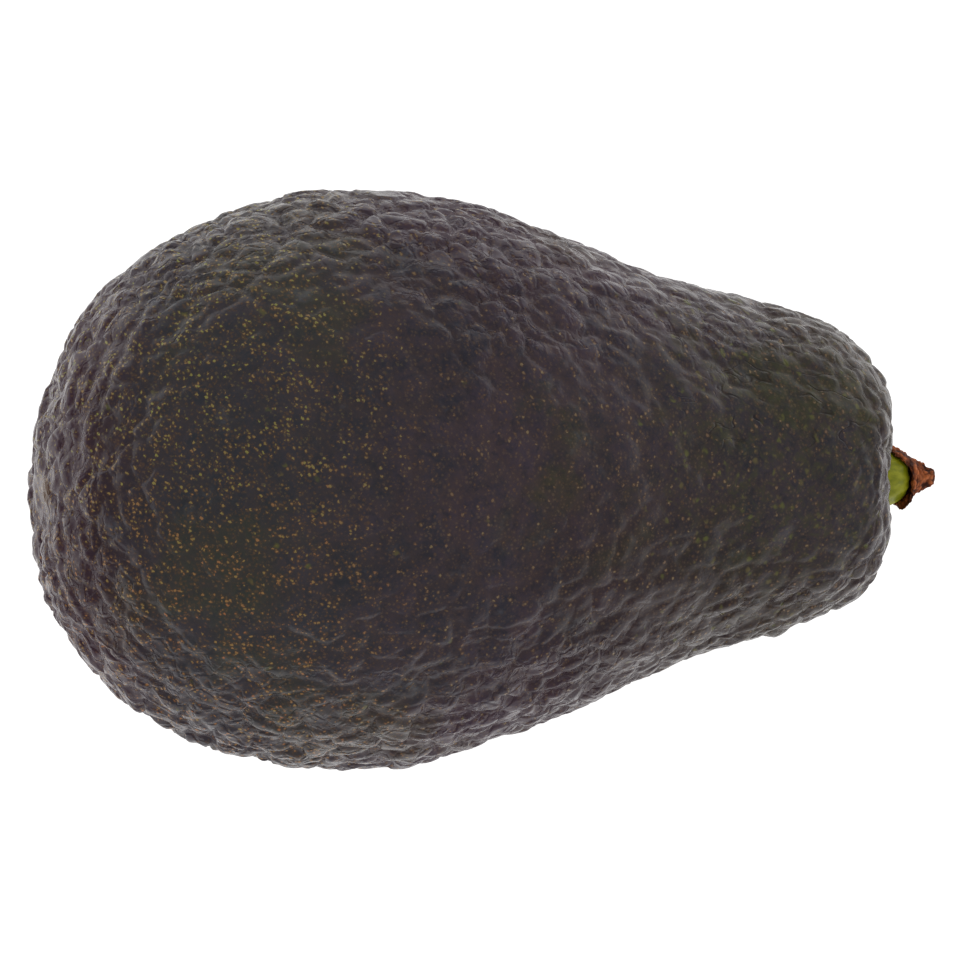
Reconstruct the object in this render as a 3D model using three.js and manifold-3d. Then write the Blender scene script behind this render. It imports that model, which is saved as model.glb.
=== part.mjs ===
// A large, pebble-skinned avocado, as picked, lying on its side with a short piece of its stalk.
// Millimetres, +Z up. The origin is the middle of the small flat spot that the fruit rests on.
// +X runs towards the stalk.
import * as THREE from "three";
import { mergeVertices } from "three/addons/utils/BufferGeometryUtils.js";
import Module from "manifold-3d";

// Driving dimensions of the fruit
const LENGTH = 112.1; // blossom end to the shoulder round the stalk
const BELLY_AT = 41.5; // the widest place, from the blossom end
const BELLY_RADIUS = 36.9;
const NECK_AT = 83;
const NECK_RADIUS = 25.3;
const LIP_RADIUS = 6; // the lip of the hollow at the foot of the stalk
const GATHER_RADIUS = 15; // within this the skin gathers towards the stalk, and its pebbles fade
const SADDLE_DEPTH = 1.5; // the dip in the shoulder above the stalk
const SADDLE_WIDTH = 5; // from its middle to where it fades
const SADDLE_FULL = 10; // out from the stalk, where it is deepest
const SADDLE_END = 20; // and where it ends
const SWELLING_HEIGHT = 0.8; // of the shoulder on the dip's left, seen from above
const SWELLING_RIGHT = 0.3; // the share of that on its right
const SWELLING_AT = 11.5; // how far to each side of the dip
const SWELLING_WIDTH = 4.5;
const HOLLOW_DEPTH = 0.4;
const HEIGHT_TO_WIDTH = 0.98; // the fruit is a little flatter than it is wide
const BLOSSOM_LEAN = -0.8; // how far the blossom end leans to the side
const TIP_LEAN = -2.6; // and its tip beyond that
const TIP_DEPTH = 5; // how far in from the tip that reaches
const NECK_LEAN = -0.4; // and how far the stalk's end leans

// How it lies
const REST_TILT = THREE.MathUtils.degToRad(16.4); // neck down, with its weight over the flat spot
const FLAT_DEPTH = 0.6; // how far the skin is pressed in where it rests

// The skin
const NET_FREQUENCY = 24; // parts in each edge of the net's icosahedron, a multiple of 3
const PEBBLE_HEIGHT = 0.55;
const PEBBLE_JITTER = 0.3; // as a share of the distance between neighbours
const KNOB_PITCH = 7.5; // lumps of several pebbles
const KNOB_HEIGHT = 0.14;
const SWELL_PITCH = 19; // broad lumps and hollows under all the rest
const SWELL_HEIGHT = 0.08;
const CALM_HEIGHT = 2.5; // above the floor, the pebbles come up to their full height over this much

// The stalk, measured from the bottom of the hollow
const STALK_OFFSET = -1.5; // sideways from the middle of the neck
const PEDICEL_RADIUS = 3.9;
const PEDICEL_ROOT = 2; // how deep it is sunk in the flesh
const PEDICEL_HEIGHT = 4.9;
const STALK_HEIGHT = 9.1; // to the stub's tip
const STUB_ROUGHNESS = 0.16;
const TEAR_SIZE = [5.5, 4.3, 2.6]; // half-sizes of the hole torn in the stub's skirt
const TEAR_AT = [-PEDICEL_RADIUS, -1.6, 2.4];
const FIT = 0.3; // the space left between one piece and the next

// Colours
const SKIN_COLOUR = 0x3a3436;
const PEDICEL_COLOUR = 0x74762a;
const STUB_COLOUR = 0x7a4d36;

const wasm = await Module();
wasm.setup();

// The fruit's outline as cubic curves, from the blossom end to the bottom of the hollow.
// Each point is [along the axis, out from it].
const OUTLINE = [
  [[0, 0], [0, 27], [21.5, BELLY_RADIUS], [BELLY_AT, BELLY_RADIUS]],
  [[BELLY_AT, BELLY_RADIUS], [59, BELLY_RADIUS], [75, 27.9], [NECK_AT, NECK_RADIUS]],
  [[NECK_AT, NECK_RADIUS], [99, 19.6], [LENGTH, 21.4], [LENGTH, LIP_RADIUS + 2]],
  [
    [LENGTH, LIP_RADIUS + 2],
    [LENGTH, LIP_RADIUS],
    [LENGTH - HOLLOW_DEPTH, LIP_RADIUS],
    [LENGTH - HOLLOW_DEPTH, 0],
  ],
];
const OUTLINE_STEPS = 80;

const smoothstep = (from, to, x) => THREE.MathUtils.smoothstep(x, from, to);
const bell = (x, width) => Math.exp(-((x / width) ** 2));

// Points along the outline, each with the way out of the skin and the share of the skin's area
// that lies before it.
function outlineTable() {
  const points = OUTLINE.flatMap((corners, i) => {
    const curve = new THREE.CubicBezierCurve(...corners.map((c) => new THREE.Vector2(...c)));
    return curve.getPoints(OUTLINE_STEPS).slice(i ? 1 : 0);
  });
  const areas = [0];
  for (let i = 1; i < points.length; i++) {
    const [a, b] = [points[i - 1], points[i]];
    areas.push(areas[i - 1] + (a.y + b.y) * a.distanceTo(b));
  }
  return points.map((point, i) => {
    const run = new THREE.Vector2().subVectors(points[i + 1] ?? point, points[i - 1] ?? point);
    return { point, out: new THREE.Vector2(-run.y, run.x).normalize(), share: areas[i] / areas.at(-1) };
  });
}
const table = outlineTable();

// The place on the outline that has a share of the skin's area before it.
function outlineAt(share) {
  const next = Math.max(1, table.findIndex((row) => row.share >= share));
  const [a, b] = [table[next - 1], table[next]];
  const t = (share - a.share) / (b.share - a.share);
  return { point: a.point.clone().lerp(b.point, t), out: a.out.clone().lerp(b.out, t).normalize() };
}

// How far the shoulder stands out above the stalk: it dips in the middle and swells on both sides.
// Both fade as the shoulder passes from the upper side of the stalk to the lower.
function saddle(side, up, out) {
  const dip = -SADDLE_DEPTH * bell(side, SADDLE_WIDTH);
  const rise = SWELLING_HEIGHT * (side > 0 ? 1 : SWELLING_RIGHT);
  const swelling = rise * bell(Math.abs(side) - SWELLING_AT, SWELLING_WIDTH);
  const band = smoothstep(LIP_RADIUS, SADDLE_FULL, out) * (1 - smoothstep(GATHER_RADIUS, SADDLE_END, out));
  const upper = smoothstep(-1, 4, up);
  return (dip + swelling) * band * upper;
}

// The smooth skin in one direction from the middle, in the fruit's own frame: X is its axis and
// Z its upper side. Equal shares of all directions get equal areas of skin.
function smoothSkin(direction) {
  const { point, out } = outlineAt(THREE.MathUtils.clamp((1 + direction.x) / 2, 0, 1));
  const around = new THREE.Vector2(direction.y, direction.z).normalize();
  const lean =
    BLOSSOM_LEAN * (1 - smoothstep(0, BELLY_AT, point.x)) +
    TIP_LEAN * (1 - smoothstep(0, TIP_DEPTH, point.x)) +
    NECK_LEAN * smoothstep(NECK_AT, LENGTH, point.x);
  const at = new THREE.Vector3(point.x, point.y * around.x + lean, point.y * around.y * HEIGHT_TO_WIDTH);
  if (point.x > NECK_AT) at.x += saddle(at.y - NECK_LEAN - STALK_OFFSET, at.z, point.y);
  return { at, normal: new THREE.Vector3(out.x, out.y * around.x, out.y * around.y).normalize() };
}

// From the fruit's own frame to the part's: tilted, with its lowest place pressed flat.
function restingPose() {
  const tilt = new THREE.Matrix4().makeRotationY(REST_TILT);
  const underside = table.map(({ point }) =>
    new THREE.Vector3(point.x, 0, -point.y * HEIGHT_TO_WIDTH).applyMatrix4(tilt),
  );
  const lowest = underside.reduce((a, b) => (b.z < a.z ? b : a));
  return tilt.setPosition(-lowest.x, 0, -lowest.z - FLAT_DEPTH);
}
const pose = restingPose();

// A net of triangles on a sphere. Every third point is a pebble's crown, and the six points
// round it lie in the furrow, so each triangle has just one crown.
function pebbleNet() {
  const ball = new THREE.IcosahedronGeometry(1, NET_FREQUENCY - 1);
  ball.deleteAttribute("normal");
  ball.deleteAttribute("uv");
  const net = mergeVertices(ball, 1e-3);
  const position = net.getAttribute("position");
  const index = Array.from(net.index.array);
  const directions = Array.from({ length: position.count }, (_, i) =>
    new THREE.Vector3().fromBufferAttribute(position, i).normalize(),
  );
  const triangles = [];
  while (index.length) triangles.push(index.splice(-3));

  // Found by walking outwards from a corner of the icosahedron.
  const crown = new Map([[net.index.array[2], true]]);
  while (crown.size < directions.length) {
    for (const triangle of triangles) {
      const known = triangle.filter((i) => crown.has(i));
      const hasCrown = known.some((i) => crown.get(i));
      if (hasCrown || known.length === 2) {
        for (const i of triangle) if (!crown.has(i)) crown.set(i, !hasCrown);
      }
    }
  }
  return { directions, triangles, isCrown: (i) => crown.get(i) };
}

// A repeatable number from 0 to 1 for a direction, different in each channel.
function drawn(direction, channel) {
  const phase = direction.dot(new THREE.Vector3(12.9898, 78.233, 37.719)) + channel * 4.1414;
  const x = Math.sin(phase) * 43758.5453;
  return x - Math.floor(x);
}

// The net's directions with each crown moved a little at random, and each furrow point in the
// middle of the crowns round it.
function unevenDirections({ directions, triangles, isCrown }) {
  const reach = (PEBBLE_JITTER * 2 * Math.sqrt(3)) / NET_FREQUENCY;
  const moved = directions.map((d, i) => {
    if (!isCrown(i)) return new THREE.Vector3();
    const push = new THREE.Vector3(drawn(d, 1), drawn(d, 2), drawn(d, 3)).subScalar(0.5);
    return d.clone().addScaledVector(push, reach).normalize();
  });
  for (const triangle of triangles) {
    const crown = moved[triangle.find(isCrown)];
    for (const i of triangle) if (!isCrown(i)) moved[i].add(crown);
  }
  return moved.map((d) => d.normalize());
}

// Soft lumps of one pitch, from -3 to 3: waves along the three axes, each bent by another.
function lumps({ x, y, z }, pitch) {
  const k = (2 * Math.PI) / pitch;
  const wave = (along, across, phase) => Math.sin(k * along + phase + 1.4 * Math.sin(0.6 * k * across));
  return wave(x, y, 0) + wave(y, z, 1.3) + wave(z, x, 0.7);
}

// The whole skin, pebbled but for the hollow and the calmer skin near the floor.
function fruitShape() {
  const net = pebbleNet();
  const points = unevenDirections(net).map((direction, i) => {
    const { at, normal } = smoothSkin(direction);
    const calm = smoothstep(0, CALM_HEIGHT, at.clone().applyMatrix4(pose).z);
    const fromStalk = at.x > NECK_AT ? Math.hypot(at.y - NECK_LEAN, at.z) : GATHER_RADIUS;
    const gathered = smoothstep(LIP_RADIUS, GATHER_RADIUS, fromStalk);
    const relief = KNOB_HEIGHT * lumps(at, KNOB_PITCH) + SWELL_HEIGHT * lumps(at, SWELL_PITCH);
    const pebble = net.isCrown(i) ? PEBBLE_HEIGHT * (0.6 + 0.8 * drawn(net.directions[i], 4)) : 0;
    const skin = at.addScaledVector(normal, calm * gathered * (relief + pebble)).applyMatrix4(pose);
    return skin.setZ(Math.max(0, skin.z));
  });
  return new THREE.BufferGeometry().setFromPoints(points).setIndex(net.triangles.flat());
}

// A closed geometry as a solid that can be joined and cut, and back again.
function solidOf(geometry) {
  const bare = geometry.clone();
  bare.deleteAttribute("normal");
  bare.deleteAttribute("uv");
  const merged = mergeVertices(bare, 1e-4);
  return new wasm.Manifold(
    new wasm.Mesh({
      numProp: 3,
      vertProperties: merged.getAttribute("position").array,
      triVerts: new Uint32Array(merged.index.array),
    }),
  );
}

function geometryOf(solid) {
  const { vertProperties, triVerts } = solid.getMesh();
  return new THREE.BufferGeometry()
    .setAttribute("position", new THREE.BufferAttribute(vertProperties, 3))
    .setIndex(new THREE.BufferAttribute(triVerts, 1));
}

// A solid of revolution about Z from points that are [out, up].
const turned = (points, sides) =>
  new THREE.LatheGeometry(points.map((p) => new THREE.Vector2(...p)), sides).rotateX(Math.PI / 2);

// The swollen green end of the stalk, grown by a margin on every side.
const pedicelShape = (margin = 0) =>
  turned(
    [
      [0, -PEDICEL_ROOT - margin],
      [PEDICEL_RADIUS - 0.7 + margin, -PEDICEL_ROOT - margin],
      [PEDICEL_RADIUS + 0.3 + margin, 0],
      [PEDICEL_RADIUS + 0.1 + margin, 1.2],
      [PEDICEL_RADIUS - 0.1 + margin, 2.4],
      [PEDICEL_RADIUS - 0.55 + margin, 3.4],
      [PEDICEL_RADIUS - 1.15 + margin, PEDICEL_HEIGHT - 0.5 + margin],
      [PEDICEL_RADIUS - 2 + margin, PEDICEL_HEIGHT + margin],
      [0, PEDICEL_HEIGHT + margin],
    ],
    24,
  );

// The dry brown end of the stalk: a lumpy cone whose torn skirt sheathes the pedicel. The skirt
// hangs lower on one side, and is torn open on the upper side, where X is negative.
function stubShape() {
  const cone = turned(
    [
      [0, 2.9],
      [PEDICEL_RADIUS + 0.3, 2.9],
      [PEDICEL_RADIUS + 0.35, 3.4],
      [PEDICEL_RADIUS - 0.1, 4.3],
      [PEDICEL_RADIUS - 0.5, 5],
      [2.6, 5.7],
      [1.9, 6.5],
      [1.75, 7.4],
      [1.3, 8.2],
      [0.7, STALK_HEIGHT],
      [0, STALK_HEIGHT],
    ],
    20,
  );
  const position = cone.getAttribute("position");
  for (let i = 0; i < position.count; i++) {
    const p = new THREE.Vector3().fromBufferAttribute(position, i);
    const out = Math.hypot(p.x, p.y);
    if (out < 0.01) continue;
    const lump =
      Math.sin(2.9 * p.x + 2 * p.z) +
      Math.sin(3.3 * p.y - 1.7 * p.z + 1) +
      Math.sin(5 * p.z + p.x);
    const grown = 1 + (STUB_ROUGHNESS * lump) / Math.max(1.5, out);
    const hang = 0.2 * p.y * (1 - smoothstep(3, 5.5, p.z));
    position.setXYZ(i, p.x * grown, p.y * grown, p.z + 0.5 * STUB_ROUGHNESS * lump - hang);
  }
  const tear = new THREE.SphereGeometry(1, 24, 16).scale(...TEAR_SIZE).translate(...TEAR_AT);
  return solidOf(cone).subtract(solidOf(pedicelShape(FIT))).subtract(solidOf(tear));
}

function piece(name, geometry, colour, roughness) {
  const material = new THREE.MeshStandardMaterial({ color: colour, roughness, metalness: 0 });
  const mesh = new THREE.Mesh(geometry, material);
  mesh.name = name;
  return mesh;
}

// The stalk's own frame has Z pointing out of the fruit, with 0 at the bottom of the hollow.
const stalk = new THREE.Group();
stalk.position.set(LENGTH - HOLLOW_DEPTH, NECK_LEAN + STALK_OFFSET, 0);
stalk.rotation.y = Math.PI / 2;
stalk.add(piece("pedicel", pedicelShape(), PEDICEL_COLOUR, 0.5));
stalk.add(piece("stalk_stub", geometryOf(stubShape()), STUB_COLOUR, 0.9));

const tilted = new THREE.Group();
tilted.applyMatrix4(pose);
tilted.add(stalk);

const avocado = new THREE.Group();
avocado.add(tilted);
avocado.updateMatrixWorld(true);

const socket = pedicelShape(FIT).applyMatrix4(stalk.matrixWorld);
const fruit = solidOf(fruitShape()).subtract(solidOf(socket));
avocado.add(piece("fruit", geometryOf(fruit), SKIN_COLOUR, 0.45));

export default avocado;
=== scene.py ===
import math

import bpy
import numpy as np
from mathutils import Matrix, Vector, kdtree, noise


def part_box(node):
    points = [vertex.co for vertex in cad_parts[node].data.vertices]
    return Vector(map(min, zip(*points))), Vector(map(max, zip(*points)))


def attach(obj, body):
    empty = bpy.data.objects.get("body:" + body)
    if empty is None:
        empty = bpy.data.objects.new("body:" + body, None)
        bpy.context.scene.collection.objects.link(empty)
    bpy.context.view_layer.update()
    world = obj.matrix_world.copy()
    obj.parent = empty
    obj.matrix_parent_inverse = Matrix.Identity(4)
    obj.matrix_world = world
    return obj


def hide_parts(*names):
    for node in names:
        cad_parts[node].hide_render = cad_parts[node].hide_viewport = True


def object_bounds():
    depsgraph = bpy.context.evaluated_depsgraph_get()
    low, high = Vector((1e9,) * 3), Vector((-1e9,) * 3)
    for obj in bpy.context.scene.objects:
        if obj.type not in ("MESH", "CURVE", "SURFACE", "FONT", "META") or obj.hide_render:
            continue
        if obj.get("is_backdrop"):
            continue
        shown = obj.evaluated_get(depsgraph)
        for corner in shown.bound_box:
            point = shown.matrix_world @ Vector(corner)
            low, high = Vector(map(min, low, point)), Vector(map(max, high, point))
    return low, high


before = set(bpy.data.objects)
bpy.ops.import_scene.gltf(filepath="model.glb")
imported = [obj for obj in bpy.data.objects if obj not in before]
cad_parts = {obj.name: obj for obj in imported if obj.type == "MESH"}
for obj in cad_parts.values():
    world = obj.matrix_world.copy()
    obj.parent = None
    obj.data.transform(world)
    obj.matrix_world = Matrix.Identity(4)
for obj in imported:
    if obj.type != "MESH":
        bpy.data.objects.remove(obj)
CAD_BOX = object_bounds()

MM = 0.001  # the scene is in metres, and the sizes below are in millimetres


# Meshes

def arrays_of(obj):
    """A node's points in millimetres and its triangles, with the points that the file repeats merged."""
    mesh = obj.data
    points = np.empty(len(mesh.vertices) * 3)
    mesh.vertices.foreach_get("co", points)
    mesh.calc_loop_triangles()
    corners = np.empty(len(mesh.loop_triangles) * 3, int)
    mesh.loop_triangles.foreach_get("vertices", corners)
    points = np.round(points.reshape(-1, 3) / MM, 4)
    points, where = np.unique(points, axis=0, return_inverse=True)
    return points, where.reshape(-1)[corners].reshape(-1, 3)


def edges_of(faces):
    """Each edge once, and the edge opposite each corner of each face."""
    pairs = np.sort(faces[:, [[1, 2], [2, 0], [0, 1]]].reshape(-1, 2), axis=1)
    edges, which = np.unique(pairs, axis=0, return_inverse=True)
    return edges, which.reshape(-1, 3)


def neighbour_mean(values, edges):
    total = np.zeros_like(values)
    count = np.zeros(len(values))
    for a, b in (edges.T, edges.T[::-1]):
        np.add.at(total, a, values[b])
        np.add.at(count, a, 1)
    return total / count[:, None]


def refined(values, faces):
    """One step of Loop subdivision. Columns past the first three are carried along as the points are."""
    edges, opposite = edges_of(faces)
    across = np.zeros((len(edges), values.shape[1]))
    for corner in range(3):
        np.add.at(across, opposite[:, corner], values[faces[:, corner]])
    middles = values[edges].sum(axis=1) * 3 / 8 + across / 8
    kept = values * 5 / 8 + neighbour_mean(values, edges) * 3 / 8
    a, b, c = faces.T
    ab, bc, ca = (opposite[:, k] + len(values) for k in (2, 0, 1))
    split = [(a, ab, ca), (ab, b, bc), (ca, bc, c), (ab, bc, ca)]
    return np.concatenate([kept, middles]), np.concatenate([np.stack(f, axis=1) for f in split])


def normals_of(points, faces):
    a, b, c = (points[faces[:, k]] for k in range(3))
    across = np.cross(b - a, c - a)
    total = np.zeros_like(points)
    for corner in range(3):
        np.add.at(total, faces[:, corner], across)
    return total / np.linalg.norm(total, axis=1)[:, None]


def smooth_object(name, points, faces, material, **fields):
    """A smooth-shaded mesh from millimetres, with a value at each point for every field."""
    mesh = bpy.data.meshes.new(name)
    mesh.from_pydata((points * MM).tolist(), [], faces.tolist())
    mesh.shade_smooth()
    for field, values in fields.items():
        mesh.attributes.new(field, "FLOAT", "POINT").data.foreach_set("value", values)
    mesh.materials.append(material)
    obj = bpy.data.objects.new(name, mesh)
    bpy.context.scene.collection.objects.link(obj)
    return obj


def stand_for(node, piece):
    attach(piece, "root")
    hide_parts(node)


def ramp(values, low, high):
    """Smoothly from 0 at low to 1 at high, or the other way where low is the greater."""
    t = np.clip((values - low) / (high - low), 0, 1)
    return t * t * (3 - 2 * t)


def soft_noise(points, pitch, octaves=2):
    return np.array([noise.fractal(Vector(p), 1.0, 2.0, octaves) for p in points / pitch])


def cells(points, pitch):
    """How far each point stands from the walls of random cells, from 0 on a wall to about 1 in the middle."""
    found = [noise.voronoi(Vector(p))[0] for p in points / pitch]
    return np.array([d[1] - d[0] for d in found])


# Where things are on the fruit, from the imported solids

def middle_of(node):
    low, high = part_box(node)
    return np.array((low + high) / 2) / MM


FOOT = middle_of("pedicel")
AXIS = middle_of("stalk_stub") - FOOT
AXIS /= np.linalg.norm(AXIS)
ACROSS = np.array([0.0, 1.0, 0.0])
UP = np.cross(AXIS, ACROSS)


def round_the_stalk(points):
    """The distance from the stalk's axis, and the angle round it."""
    away = points - FOOT
    u, v = away @ ACROSS, away @ UP
    return np.hypot(u, v), np.arctan2(v, u)


# Node trees

class Tree:
    """A material's node tree, with one short call for each kind of node it needs."""

    def __init__(self, name):
        self.material = bpy.data.materials.new(name)
        self.material.use_nodes = True
        self.nodes = self.material.node_tree.nodes
        self.links = self.material.node_tree.links
        self.shader = self.nodes["Principled BSDF"]
        self.place = self.add("ShaderNodeTexCoord").outputs["Object"]

    def set(self, socket, value):
        if isinstance(value, bpy.types.NodeSocket):
            self.links.new(value, socket)
        else:
            socket.default_value = value

    def add(self, kind, inputs=None, **settings):
        made = self.nodes.new(kind)
        for key, value in settings.items():
            setattr(made, key, value)
        for key, value in (inputs or {}).items():
            self.set(made.inputs[key], value)
        return made

    def math(self, operation, a, b=0.0, c=0.0, clamp=False):
        inputs = {0: a, 1: b, 2: c}
        return self.add("ShaderNodeMath", inputs, operation=operation, use_clamp=clamp).outputs[0]

    def noise(self, pitch, detail=2.0, roughness=0.5, place=None, distortion=0.0):
        inputs = {
            "Vector": place or self.place,
            "Scale": 1 / (pitch * MM),
            "Detail": detail,
            "Roughness": roughness,
            "Distortion": distortion,
        }
        return self.add("ShaderNodeTexNoise", inputs)

    def moved(self, amount, pitch, detail=1):
        """The place of each point plus a small random shift, so that round shapes come out ragged."""
        by = self.noise(pitch, detail=detail).outputs["Fac"]
        inputs = {0: by, 1: (3 * amount * MM, -3 * amount * MM, 3 * amount * MM), 2: self.place}
        return self.add("ShaderNodeVectorMath", inputs, operation="MULTIPLY_ADD").outputs[0]

    def voronoi(self, pitch, place=None, **settings):
        inputs = {"Vector": place or self.place, "Scale": 1 / (pitch * MM)}
        return self.add("ShaderNodeTexVoronoi", inputs, **settings)

    def step(self, value, low, high, to_low=0.0, to_high=1.0):
        inputs = {"Value": value, 1: low, 2: high, 3: to_low, 4: to_high}
        kind = "SMOOTHSTEP"
        return self.add("ShaderNodeMapRange", inputs, interpolation_type=kind).outputs[0]

    def mix(self, share, a, b, blend="MIX"):
        made = self.add("ShaderNodeMix", data_type="RGBA", blend_type=blend)
        for key, value in (("Factor", share), ("A", a), ("B", b)):
            sockets = [s for s in made.inputs if s.name == key and s.enabled]
            self.set(sockets[0], value)
        return [s for s in made.outputs if s.enabled][0]

    def field(self, name):
        return self.add("ShaderNodeAttribute", attribute_name=name).outputs["Fac"]

    def bump(self, height, depth, strength=1.0, below=None):
        inputs = {"Height": height, "Distance": depth * MM, "Strength": strength}
        if below:
            inputs["Normal"] = below
        return self.add("ShaderNodeBump", inputs).outputs[0]


def colour(red, green, blue):
    """A colour given as it looks on a screen, 0 to 255, as the shader wants it."""
    parts = [x / 255 for x in (red, green, blue)]
    return [x / 12.92 if x < 0.04045 else ((x + 0.055) / 1.055) ** 2.4 for x in parts] + [1.0]


# The skin

PEBBLE_SHARE = 0.35  # of the solid's own pebbles
CELL_PITCH = 4.4
CELL_HEIGHT = 0.56
CELL_SHOULDER = 0.7  # how far in from a furrow a cell is flat
DOME = 0.5  # how much it falls away from its middle all the same
WARP_PITCH = 6.0
WARP_REACH = 1.8
FOLD_PITCH = 13.0  # soft ridges over many cells
FOLD_HEIGHT = 0.35
CREASE_PITCH = 2.1
CREASE_HEIGHT = 0.06
NET_PITCH = 2.8  # fine furrows over the rest
NET_DEPTH = 0.13
GRAIN_PITCH = 0.8
GRAIN_DEPTH = 0.04
PLEATS = 23  # the ridges that run in to the foot of the stalk
PLEAT_HEIGHT = 0.28
SOCKET_REACH = 5.5  # no pebbles closer to the stalk's axis than this
BELLY_TOP = 0.5  # the relief left where the skin faces up, on the belly
NECK_TOP = 0.22  # and on the neck
BARE_SPOT = (-46.0, 0.0, 44.0)  # a smooth place on the blossom end
BARE_REACH = 7.0
CRESCENT_PITCH = 4.6
CRESCENT_RADIUS = 1.5
CRESCENT_WIDTH = 0.35
CRESCENT_DEPTH = 0.2
CRESCENT_SEED = 1
WRINKLE_PITCH = 2.8
WRINKLE_DEPTH = 0.12
WRINKLE_MIDDLE = 8.0  # how far to the side the wrinkles of the neck lie
SCAR_RADIUS = 2.2  # of the scar on the blossom end
SCAR_HEIGHT = 0.5
HALO_REACH = 0.4  # of a dot's rusty surround, as a share of the dots' spacing


def pebbles_of(points, faces):
    """The height in millimetres of each point that is a pebble's crown, and 0 at the others."""
    edges, _ = edges_of(faces)
    stand = ((points - neighbour_mean(points, edges)) * normals_of(points, faces)).sum(axis=1)
    highest = np.full(len(points), -np.inf)
    for a, b in (edges.T, edges.T[::-1]):
        np.maximum.at(highest, a, stand[b])
    distance, _ = round_the_stalk(points)
    at_stalk = (distance < SOCKET_REACH) & (points[:, 0] > FOOT[0] - 5)
    return np.where((stand > highest) & (stand > 0) & ~at_stalk, stand, 0)


def flat_cells(points, pitch, shoulder):
    """Random cells with flat tops and narrow furrows: 0 in a furrow and 0.6 to 1.4 on a top."""
    heights = np.empty(len(points))
    for i, p in enumerate(points / pitch):
        distances, centres = noise.voronoi(Vector(p))
        inward = min(1.0, (distances[1] - distances[0]) * pitch / 2 / shoulder)
        own = 1 + 0.4 * noise.noise(centres[0] * 7.3)
        heights[i] = own * (1 - (1 - inward) ** 2) - DOME * distances[0] ** 2
    return heights


def crescents(points):
    """Small curved creases, each an arc round a random place: 1 along the arc and 0 away from it."""
    noise.seed_set(CRESCENT_SEED)  # without it noise_vector differs from run to run
    depth = np.zeros(len(points))
    for i, p in enumerate(points):
        scaled = Vector(p) / CRESCENT_PITCH
        centre = noise.voronoi(scaled)[1][0]
        facing = noise.noise_vector(centre * 9.1).normalized()
        away = (scaled - centre) * CRESCENT_PITCH
        off = (away.length - CRESCENT_RADIUS) / CRESCENT_WIDTH
        side = away.normalized().dot(facing)
        depth[i] = math.exp(-off * off) * min(1.0, max(0.0, 2.5 * side))
    return depth


def wrinkled(points):
    """Where the neck has fine creases, which the material paints dark as shade in them: a band along its upper side,
    from 0 to 1.
    """
    along = ramp(points[:, 0], 30, 42)
    return along * ramp(np.abs(points[:, 1] - WRINKLE_MIDDLE), 8, 2) * ramp(points[:, 2], 30, 40)


def skin_relief(points, normals, crown, height):
    """How far the skin stands out at each point, in millimetres, how deep in a furrow it is, and how
    rough it is there."""
    distance, angle = round_the_stalk(points)
    ahead = (points - FOOT) @ AXIS
    calm = ramp(points[:, 2], 0.1, 3)
    near_stalk = ramp(distance, 14, 5) * ramp(ahead, -16, -8)
    neck = ramp(points[:, 0], 8, 34)
    top = BELLY_TOP + (NECK_TOP - BELLY_TOP) * neck
    facing_up = ramp(normals[:, 2], 0.5, 0.88)
    full = 1 - (1 - top) * facing_up
    full *= (1 - 0.3 * neck) * (1 + 0.35 * soft_noise(points, 17.0, 2))
    full *= 0.2 + 0.8 * ramp(np.linalg.norm(points - np.array(BARE_SPOT), axis=1), 0.5 * BARE_REACH, BARE_REACH)

    dome = 1 - (1 - np.clip(4 * crown - 1, 0, 1)) ** 2
    rise = PEBBLE_SHARE * dome * height / np.maximum(crown, 0.05)
    bend = np.stack([soft_noise(points + k * 31.7, WARP_PITCH, 2) for k in range(3)], axis=1)
    tops = flat_cells(points + WARP_REACH * bend, CELL_PITCH, CELL_SHOULDER)
    fold = 1 - 2 * np.abs(soft_noise(points, FOLD_PITCH, 2))
    crease = 1 - np.abs(soft_noise(points, CREASE_PITCH, 2)) * 2
    relief = full * (rise + CELL_HEIGHT * (tops - 0.7) * (1 - 0.7 * near_stalk) + FOLD_HEIGHT * (fold - 0.5))
    relief += CREASE_HEIGHT * (0.15 + 0.85 * full) * crease

    pleat = np.abs(np.sin(angle * PLEATS / 2 + 1.5 * soft_noise(points, 9.0, 1)))
    relief += PLEAT_HEIGHT * near_stalk * (pleat - 0.5) * ramp(distance, 3.5, 5.5)
    upper_neck = neck * facing_up
    bent = ramp(points[:, 0], 22, 30) * ramp(points[:, 0], 52, 40) * ramp(points[:, 1], 12, 4)
    relief -= CRESCENT_DEPTH * upper_neck * bent * crescents(points)
    return relief * calm, 1 - np.minimum(tops, 1), full * calm


def blossom_scar(points, normals):
    """The small corky button in a dimple at the end away from the stalk: its height, and its mask."""
    outward = -AXIS
    tip = points[np.argmax(points @ outward)]
    distance = np.linalg.norm(points - tip, axis=1)
    dimple = -SCAR_HEIGHT * ramp(distance, 3 * SCAR_RADIUS, SCAR_RADIUS)
    button = ramp(distance, SCAR_RADIUS, 0.6 * SCAR_RADIUS)
    return dimple + 0.6 * SCAR_HEIGHT * button * (1 + 0.5 * soft_noise(points, 0.8, 2)), button


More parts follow.
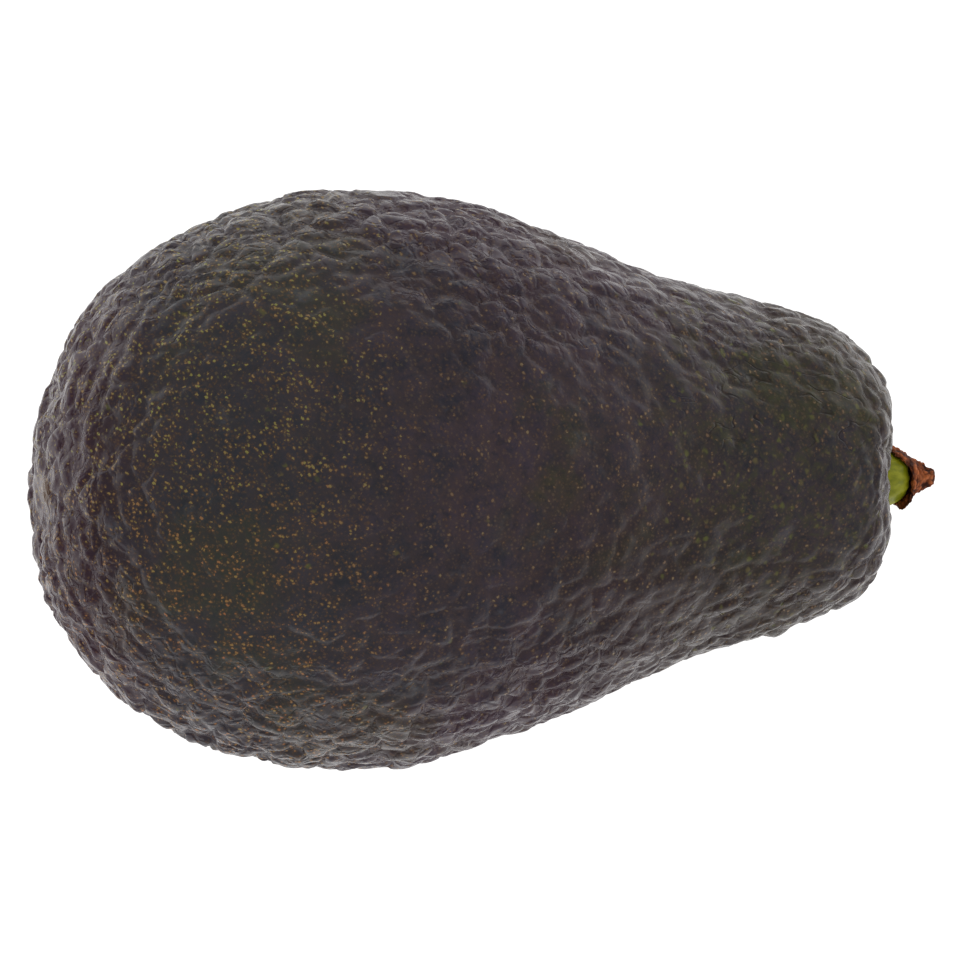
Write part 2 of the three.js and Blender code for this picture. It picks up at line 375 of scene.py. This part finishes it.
def skin_object():
    points, faces = arrays_of(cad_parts["fruit"])
    pebble = pebbles_of(points, faces)
    crown = (pebble > 0).astype(float)
    smooth = points - normals_of(points, faces) * pebble[:, None]
    values = np.concatenate([smooth, crown[:, None], pebble[:, None]], axis=1)
    for _ in range(2):
        values, faces = refined(values, faces)
    points = values[:, :3]
    normals = normals_of(points, faces)
    relief, furrow, rough = skin_relief(points, normals, values[:, 3], values[:, 4])
    scar_height, scar = blossom_scar(points, normals)
    points = points + normals * (relief * (1 - scar) + scar_height)[:, None]
    points[:, 2] = np.maximum(points[:, 2], 0)
    distance, _ = round_the_stalk(points)
    lip = ramp(distance, 6.5, 4.6) * (points[:, 0] > FOOT[0] - 5)
    # Painted sheen along the outline: 0 where the skin faces up, 1 where it faces sideways, for the purple tint that
    # stands in for the pinkish light at the rim.
    side = ramp(normals[:, 2], 0.8, 0.35)
    fields = {"furrow": furrow, "rough": rough, "scar": scar, "lip": lip, "side": side}
    fields["wrinkled"] = wrinkled(points)
    return smooth_object("fruit_skin", points, faces, skin_material(), **fields)


def specks(tree, base, place, spacing, size, share, pair, edge=0.14, strength=1.0, dim=0.0, halo=0.0):
    """Corky dots over a base colour, from a pair of colours. Those beyond the share are only dim."""
    found = tree.voronoi(spacing, place)
    random = tree.add("ShaderNodeSeparateColor", {"Color": found.outputs["Color"]}).outputs
    radius = tree.math("MULTIPLY", size / spacing, tree.step(random["Green"], 0.0, 1.0, 0.45, 1.2))
    inside = tree.step(tree.math("SUBTRACT", radius, found.outputs["Distance"]), 0.0, edge)
    shown = tree.math("MAXIMUM", tree.math("LESS_THAN", random["Blue"], share), dim)
    own = tree.step(random["Green"], 0.0, 0.9, 0.3 * strength, strength)
    dot = tree.math("MULTIPLY", tree.math("MULTIPLY", inside, shown), own)
    halo = tree.step(tree.math("SUBTRACT", radius, found.outputs["Distance"]), -HALO_REACH, 0.0, 0.0, halo)
    base = tree.mix(tree.math("MULTIPLY", halo, shown), base, colour(104, 78, 54))
    return tree.mix(dot, base, tree.mix(random["Red"], *pair))


def wrinkle_lines(tree):
    """Thin creases along the neck, from 0 beside them to 1 in them."""
    long = tree.add("ShaderNodeVectorMath", {0: tree.place, 1: (0.14, 1, 1)}, operation="MULTIPLY").outputs[0]
    wave = tree.noise(WRINKLE_PITCH, detail=1, place=long, distortion=0.2).outputs["Fac"]
    off = tree.math("ABSOLUTE", tree.math("SUBTRACT", wave, 0.5))
    some = tree.step(tree.noise(5.0, detail=1).outputs["Fac"], 0.42, 0.56)
    line = tree.math("MULTIPLY", tree.step(off, 0.034, 0.0), some)
    return tree.math("MULTIPLY", line, tree.field("wrinkled"))


def skin_material():
    tree = Tree("pebbled_skin")
    mauve = colour(67, 57, 68)
    slate = colour(50, 48, 58)
    olive = colour(64, 63, 48)
    brown = colour(74, 60, 60)
    wax_and_painted_sheen = colour(92, 96, 106)
    broad = tree.noise(26, detail=3, roughness=0.6).outputs["Fac"]
    patch = tree.noise(7, detail=5, roughness=0.68).outputs["Fac"]
    mottle = tree.noise(1.7, detail=3, roughness=0.7, distortion=0.6).outputs["Fac"]
    cluster = tree.noise(3.2, detail=2).outputs["Fac"]
    place = tree.add("ShaderNodeSeparateXYZ", {0: tree.place}).outputs
    blossom = tree.step(place["X"], 8 * MM, -22 * MM)
    neck = tree.step(place["X"], 20 * MM, 42 * MM)
    tops = tree.math("SUBTRACT", 1.0, tree.field("furrow"))
    base = tree.mix(tree.step(patch, 0.38, 0.62), mauve, slate)
    tip = tree.step(place["X"], -30 * MM, -44 * MM)
    left = tree.step(place["Y"], -14 * MM, 4 * MM, 0.3, 1.0)
    green = tree.math("SUBTRACT", tree.math("MULTIPLY", blossom, 0.1), tree.math("MULTIPLY", tip, 0.14))
    green = tree.math("ADD", green, tree.math("MULTIPLY", tree.math("MULTIPLY", neck, left), 0.16))
    green = tree.math("ADD", green, tree.math("MULTIPLY", patch, 0.3))
    base = tree.mix(tree.step(tree.math("ADD", broad, green), 0.7, 0.84), base, olive)
    base = tree.mix(tree.math("MULTIPLY", tree.field("furrow"), 0.4), base, brown)
    base = tree.mix(tree.step(mottle, 0.42, 0.7, 0.0, 0.55), base, tree.mix(neck, brown, colour(78, 78, 50)))
    base = tree.mix(tree.step(mottle, 0.5, 0.3, 0.0, 0.6), base, colour(44, 43, 52))
    base = tree.mix(tree.math("MULTIPLY", tip, 0.55), base, colour(54, 26, 36))
    # Painted sheen: purple mixed in where the skin faces sideways, standing in for the pinkish light along the
    # outline.
    base = tree.mix(tree.math("MULTIPLY", tree.field("side"), 0.33), base, colour(82, 54, 72))
    lower = tree.step(place["Y"], 12 * MM, -20 * MM)
    waist = tree.math("MULTIPLY", tree.step(place["X"], 8 * MM, 24 * MM), tree.step(place["X"], 46 * MM, 34 * MM))
    waist = tree.math("MULTIPLY", tree.math("MULTIPLY", waist, lower), 0.5)
    base = tree.mix(waist, base, colour(44, 30, 28))
    low_neck = tree.math("MULTIPLY", neck, tree.step(place["Y"], -6 * MM, -20 * MM, 0.0, 0.5))
    base = tree.mix(low_neck, base, colour(52, 35, 31))
    belly = tree.math("SUBTRACT", blossom, tip, clamp=True)
    base = tree.mix(tree.math("MULTIPLY", belly, 0.4), base, colour(60, 66, 68))
    base = tree.mix(tree.math("MULTIPLY", neck, 0.25), base, colour(38, 44, 34))
    # Bluish patches: partly the skin's waxy bloom, partly a painted sheen.
    base = tree.mix(tree.step(patch, 0.6, 0.76, 0.0, 0.45), base, wax_and_painted_sheen)

    ragged = tree.moved(0.18, 0.36)
    clustered = tree.math("MULTIPLY", tree.step(cluster, 0.35, 0.6, 0.15, 1.0), tree.step(tops, 0.0, 0.8, 0.4, 1.0))
    share = tree.math("MULTIPLY", clustered, tree.math("MULTIPLY_ADD", blossom, 0.85, 0.2))
    light = tree.mix(blossom, colour(132, 114, 86), tree.mix(lower, colour(144, 144, 78), colour(156, 130, 78)))
    dark = tree.mix(blossom, colour(118, 94, 76), tree.mix(lower, colour(154, 122, 80), colour(166, 108, 74)))
    base = specks(tree, base, ragged, 0.5, 0.19, share, (light, dark), dim=0.2, halo=0.5)
    soft = tree.moved(0.5, 1.1)
    share = tree.math("MULTIPLY", tree.step(cluster, 0.3, 0.5, 0.5, 1.0), tree.math("MULTIPLY_ADD", neck, 0.95, 0.05))
    pair = (colour(100, 104, 50), colour(108, 96, 62))
    base = specks(tree, base, soft, 1.4, 0.52, share, pair, edge=0.35, strength=0.7)
    creases = wrinkle_lines(tree)
    # Painted shade: the neck's thin creases darkened.
    base = tree.mix(tree.math("MULTIPLY", creases, 0.75), base, colour(34, 27, 26))
    base = tree.mix(tree.field("lip"), base, colour(112, 112, 60))
    base = tree.mix(tree.field("scar"), base, colour(92, 66, 46))
    tree.set(tree.shader.inputs["Base Color"], base)
    tree.set(tree.shader.inputs["Specular IOR Level"], 0.14)
    tree.set(tree.shader.inputs["Roughness"], tree.step(patch, 0.3, 0.7, 0.17, 0.27))

    plate = tree.voronoi(NET_PITCH, tree.moved(1.0, 2.2, 3), feature="DISTANCE_TO_EDGE").outputs["Distance"]
    plate = tree.math("MULTIPLY", tree.step(plate, 0.0, 0.16), tree.step(tree.field("rough"), 0.4, 1.0))
    grain = tree.noise(GRAIN_PITCH, detail=3, roughness=0.6).outputs["Fac"]
    height = tree.math("MULTIPLY_ADD", grain, GRAIN_DEPTH, tree.math("MULTIPLY", plate, NET_DEPTH))
    height = tree.math("MULTIPLY_ADD", creases, -WRINKLE_DEPTH, height)
    tree.set(tree.shader.inputs["Normal"], tree.bump(height, 1.0))
    return tree.material


# The stalk

def divided_piece(name, node, steps, relief, material):
    """A node's solid divided and swollen by a relief, which is kept as a field for the material."""
    values, faces = arrays_of(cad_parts[node])
    for _ in range(steps):
        values, faces = refined(values, faces)
    rise = relief(values)
    points = values + normals_of(values, faces) * rise[:, None]
    return smooth_object(name, points, faces, material, rise=rise)


def pedicel_relief(points):
    distance, angle = round_the_stalk(points)
    return 0.05 * np.sin(angle * 9 + soft_noise(points, 3.0, 1) * 3) + 0.05 * soft_noise(points, 1.2)


def stub_relief(points):
    return 0.24 * soft_noise(points, 1.4, 3) + 0.32 * (cells(points, 0.8) - 0.35)


def pedicel_material():
    tree = Tree("green_stalk")
    long = tree.add("ShaderNodeVectorMath", {0: tree.place, 1: (0.25, 1, 1)}, operation="MULTIPLY").outputs[0]
    shade = tree.noise(1.0, detail=4, place=long).outputs["Fac"]
    base = tree.mix(tree.step(shade, 0.35, 0.65), colour(126, 132, 8), colour(160, 161, 28))
    tree.set(tree.shader.inputs["Base Color"], base)
    tree.set(tree.shader.inputs["Specular IOR Level"], 0.3)
    tree.set(tree.shader.inputs["Roughness"], tree.step(shade, 0.3, 0.7, 0.4, 0.55))
    return tree.material


def stub_material():
    tree = Tree("dry_stalk")
    shade = tree.noise(0.8, detail=4).outputs["Fac"]
    # Painted shade and highlight: dark brown where the cork's relief sinks, bright orange where it rises.
    base = tree.mix(tree.step(tree.field("rise"), -0.14, 0.14), colour(62, 28, 16), colour(186, 104, 58))
    base = tree.mix(tree.step(shade, 0.45, 0.7), base, colour(126, 64, 34))
    tree.set(tree.shader.inputs["Base Color"], base)
    tree.set(tree.shader.inputs["Specular IOR Level"], 0.2)
    tree.set(tree.shader.inputs["Roughness"], tree.step(shade, 0.3, 0.7, 0.7, 0.95))
    return tree.material


# The table, the light and the camera

PHOTO_SIDE = 960  # pixels
PHOTO_SCALE = 0.1287  # mm a pixel, at the height of the fruit's widest outline
OUTLINE_HEIGHT = 37.0
PHOTO_MIDDLE = (7.1, -0.6)  # the part's place under the middle of the photograph, mm
PHOTO_ROLL = 1.77  # degrees
CAMERA_DISTANCE = 1100.0  # from the widest outline
SENSOR = 36.0


WALL = 0.54  # brightness
WALL_LEAN = 0.18  # how much brighter it is towards the stalk, and dimmer the other way
CEILING = 0.55
TABLE_GLOW = 0.85
TABLE_HALF = 3.0  # metres
TABLE_GAP = 0.1  # below the flat spot, so that the two never share a plane


def table():
    mesh = bpy.data.meshes.new("table")
    half = TABLE_HALF
    z = -TABLE_GAP * MM
    mesh.from_pydata([(-half, -half, z), (half, -half, z), (half, half, z), (-half, half, z)], [], [(0, 1, 2, 3)])
    tree = Tree("white_table")
    tree.set(tree.shader.inputs["Base Color"], colour(245, 245, 245))
    tree.set(tree.shader.inputs["Roughness"], 0.9)
    tree.set(tree.shader.inputs["Emission Color"], colour(255, 255, 255))
    tree.set(tree.shader.inputs["Emission Strength"], TABLE_GLOW)
    mesh.materials.append(tree.material)
    obj = bpy.data.objects.new("table", mesh)
    bpy.context.scene.collection.objects.link(obj)
    obj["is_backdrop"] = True


def surroundings():
    """A wall all round and a ceiling, both dim, so that the fruit's top has no glare."""
    world = bpy.data.worlds.new("studio")
    world.use_nodes = True
    nodes, links = world.node_tree.nodes, world.node_tree.links
    place = nodes.new("ShaderNodeTexCoord")
    height = nodes.new("ShaderNodeSeparateXYZ")
    strength = nodes.new("ShaderNodeMapRange")
    links.new(place.outputs["Generated"], height.inputs[0])
    links.new(height.outputs["Z"], strength.inputs["Value"])
    for key, value in zip(("From Min", "From Max", "To Min", "To Max"), (0.45, 0.9, WALL, CEILING)):
        strength.inputs[key].default_value = value
    side = nodes.new("ShaderNodeMath")
    side.operation = "MULTIPLY_ADD"
    side.inputs[1].default_value = WALL_LEAN
    side.inputs[2].default_value = 1.0
    links.new(height.outputs["X"], side.inputs[0])
    total = nodes.new("ShaderNodeMath")
    total.operation = "MULTIPLY"
    links.new(strength.outputs[0], total.inputs[0])
    links.new(side.outputs[0], total.inputs[1])
    nodes["Background"].inputs["Color"].default_value = colour(255, 255, 255)
    links.new(total.outputs[0], nodes["Background"].inputs["Strength"])
    bpy.context.scene.world = world


def camera():
    lens = bpy.data.cameras.new("camera")
    lens.sensor_width = SENSOR
    lens.lens = SENSOR * CAMERA_DISTANCE / (PHOTO_SIDE * PHOTO_SCALE)
    lens.clip_end = 100
    obj = bpy.data.objects.new("camera", lens)
    x, y = PHOTO_MIDDLE
    obj.location = Vector((x, y, OUTLINE_HEIGHT + CAMERA_DISTANCE)) * MM
    obj.rotation_euler = (0, 0, -math.radians(PHOTO_ROLL))
    bpy.context.scene.collection.objects.link(obj)
    bpy.context.scene.camera = obj


def build():
    stand_for("fruit", skin_object())
    pedicel = divided_piece("stalk_end", "pedicel", 2, pedicel_relief, pedicel_material())
    stand_for("pedicel", pedicel)
    stub = divided_piece("dry_stub", "stalk_stub", 3, stub_relief, stub_material())
    stand_for("stalk_stub", stub)
    table()
    surroundings()
    camera()
    bpy.context.scene.view_settings.view_transform = "Standard"


build()
sizes = {"cad": CAD_BOX, "visual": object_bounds()}
sizes = {key: [[float(x) for x in corner] for corner in box] for key, box in sizes.items()}
